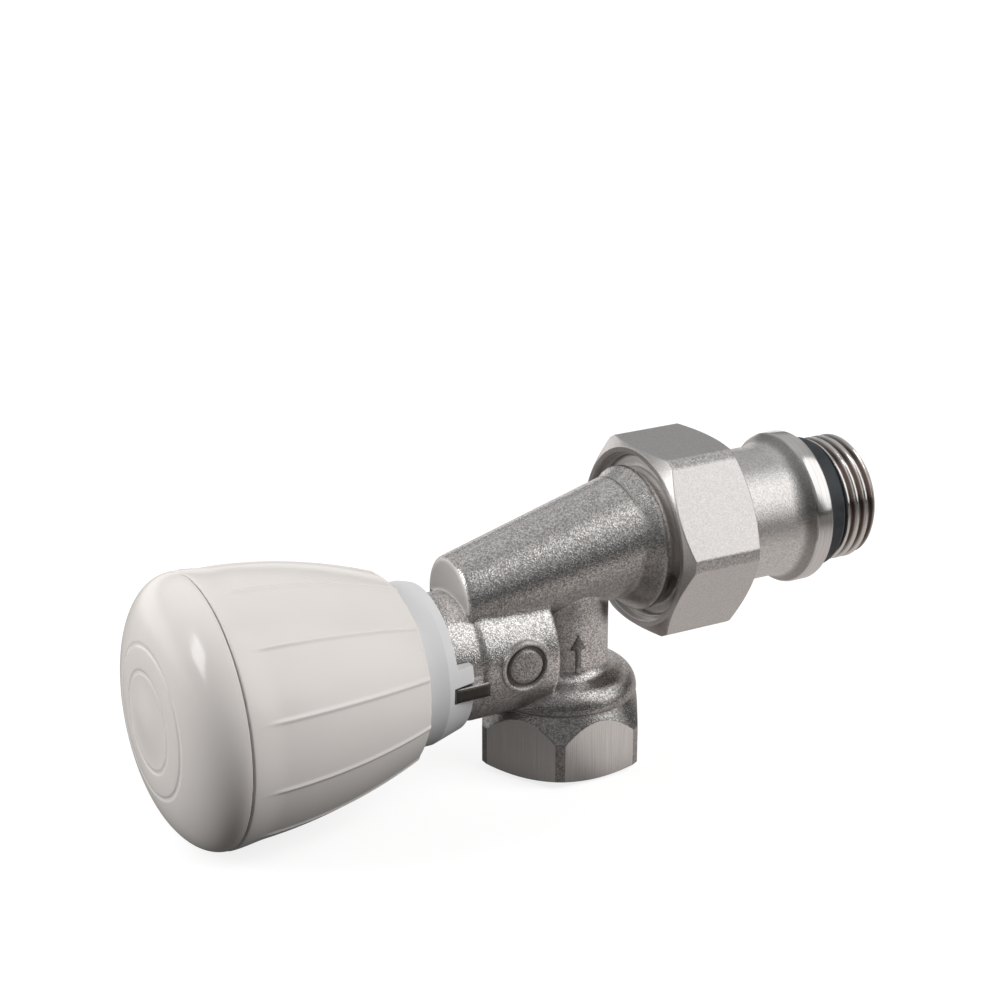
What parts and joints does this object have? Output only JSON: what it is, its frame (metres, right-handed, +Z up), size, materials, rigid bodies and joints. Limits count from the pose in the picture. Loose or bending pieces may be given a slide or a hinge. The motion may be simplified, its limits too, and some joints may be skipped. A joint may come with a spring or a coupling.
{
  "type": "angle radiator valve",
  "caption": "Angle radiator valve with a horizontal faceted handwheel, a hexagonal pipe socket below, and a union nut and flanged threaded tail towards the radiator.",
  "frame": {"origin": "centre of the pipe socket's mouth", "axes": "+Z up the pipe's axis, +X along the radiator tail away from the handwheel"},
  "size_m": [0.126, 0.0424, 0.0498],
  "materials": {
    "nickel_forged": "nickel plated, blasted satin",
    "nickel_turned": "nickel plated, turned",
    "brass": "turned",
    "spring_steel": "drawn",
    "rubber": "matt",
    "white_gloss": "glossy",
    "white_collar": "satin"
  },
  "bodies": {
    "valve": {"valve_body": "nickel_forged", "union_nut": "nickel_turned", "tailpiece": "nickel_turned", "retaining_ring": "spring_steel", "union_seal": "rubber", "radiator_seal": "rubber", "bonnet": "brass", "bonnet_seal": "rubber", "gland_screw": "brass", "stem_seal": "rubber", "collar": "white_collar", "return_spring": "spring_steel"},
    "stem": {"stem": "spring_steel", "obturator": "brass", "obturator_gasket": "rubber", "gasket_retainer": "brass", "stem_clip": "spring_steel"},
    "handwheel": {"handwheel_shell": "white_gloss", "handwheel_cap": "white_gloss", "threaded_hub": "white_collar", "pusher": "white_collar", "handwheel_screw": "spring_steel"}
  },
  "joints": [
    {"name": "stem_slide", "type": "slide", "parent": "valve", "child": "stem", "axis": [1, 0, 0], "range_m": [0, 0.003], "deforming": ["return_spring"]},
    {"name": "handwheel_turn", "type": "hinge", "parent": "stem", "child": "handwheel", "pos_m": [-0.045, 0, 0.0212], "axis": [1, 0, 0], "range_deg": [0, 540]}
  ],
  "couplings": [
    {"joint": "stem_slide", "follows": "handwheel_turn", "m_per_rad": 0.000318}
  ]
}
